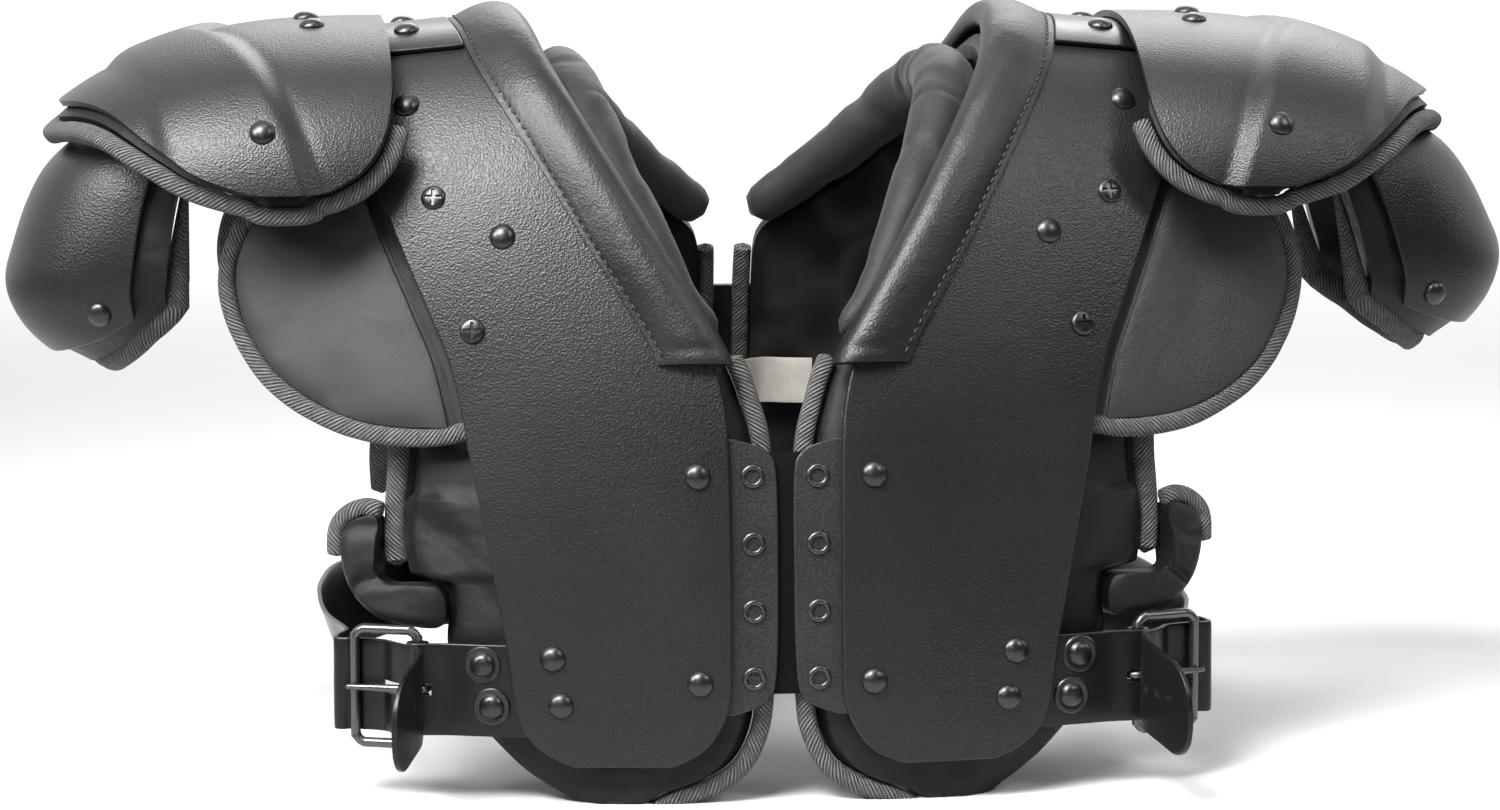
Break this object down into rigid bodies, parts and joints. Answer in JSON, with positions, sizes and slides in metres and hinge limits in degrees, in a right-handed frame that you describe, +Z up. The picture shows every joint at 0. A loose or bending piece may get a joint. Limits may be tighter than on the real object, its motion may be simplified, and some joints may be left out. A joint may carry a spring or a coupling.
{
  "type": "football shoulder pads",
  "caption": "Football shoulder pads: riveted plastic arch plates over padded liners, with epaulets, arm caps, chest flaps, laced front and buckled side belts.",
  "frame": {"origin": "under the middle of the whole object, on the surface that the liner's lower edges stand on", "axes": "+X to the right in front view, +Y towards the back, +Z up towards the neck opening"},
  "size_m": [0.6248, 0.3174, 0.3113],
  "materials": {
    "plate_plastic": "satin grain",
    "liner_fabric": "knit",
    "binding_tape": "twill",
    "collar_leather": "grained",
    "strap_coated": "coated webbing",
    "buckle_metal": "black nickel",
    "label_cloth": "plain weave"
  },
  "bodies": {
    "root": {"arch_plate_left": "plate_plastic", "arch_plate_right": "plate_plastic", "lace_plate_left": "plate_plastic", "lace_plate_right": "plate_plastic", "epaulet_shell_left": "plate_plastic", "epaulet_shell_right": "plate_plastic", "arm_cap_shell_left": "plate_plastic", "arm_cap_shell_right": "plate_plastic", "body_pad_left": "liner_fabric", "body_pad_right": "liner_fabric", "neck_roll_left": "liner_fabric", "neck_roll_right": "liner_fabric", "chest_flap_left": "liner_fabric", "chest_flap_right": "liner_fabric", "back_flap_left": "liner_fabric", "back_flap_right": "liner_fabric", "side_wing_left": "liner_fabric", "side_wing_right": "liner_fabric", "epaulet_pad_left": "liner_fabric", "epaulet_pad_right": "liner_fabric", "arm_cap_pad_left": "liner_fabric", "arm_cap_pad_right": "liner_fabric", "arm_hanger_left": "liner_fabric", "arm_hanger_right": "liner_fabric", "front_binding_left": "binding_tape", "front_binding_right": "binding_tape", "back_binding_left": "binding_tape", "back_binding_right": "binding_tape", "armhole_binding_left": "binding_tape", "armhole_binding_right": "binding_tape", "chest_flap_binding_left": "binding_tape", "chest_flap_binding_right": "binding_tape", "back_flap_binding_left": "binding_tape", "back_flap_binding_right": "binding_tape", "side_wing_binding_left": "binding_tape", "side_wing_binding_right": "binding_tape", "epaulet_binding_left": "binding_tape", "epaulet_binding_right": "binding_tape", "arm_cap_binding_left": "binding_tape", "arm_cap_binding_right": "binding_tape", "collar_left": "collar_leather", "collar_right": "collar_leather", "bridge_strap_left": "strap_coated", "bridge_strap_right": "strap_coated", "belt_tab_left": "strap_coated", "belt_tab_right": "strap_coated", "belt_left": "strap_coated", "belt_right": "strap_coated", "buckle_frame_left": "buckle_metal", "buckle_frame_right": "buckle_metal", "buckle_prong_left": "buckle_metal", "buckle_prong_right": "buckle_metal", "front_tongue": "liner_fabric", "back_bridge": "plate_plastic", "care_label": "label_cloth"}
  },
  "joints": []
}
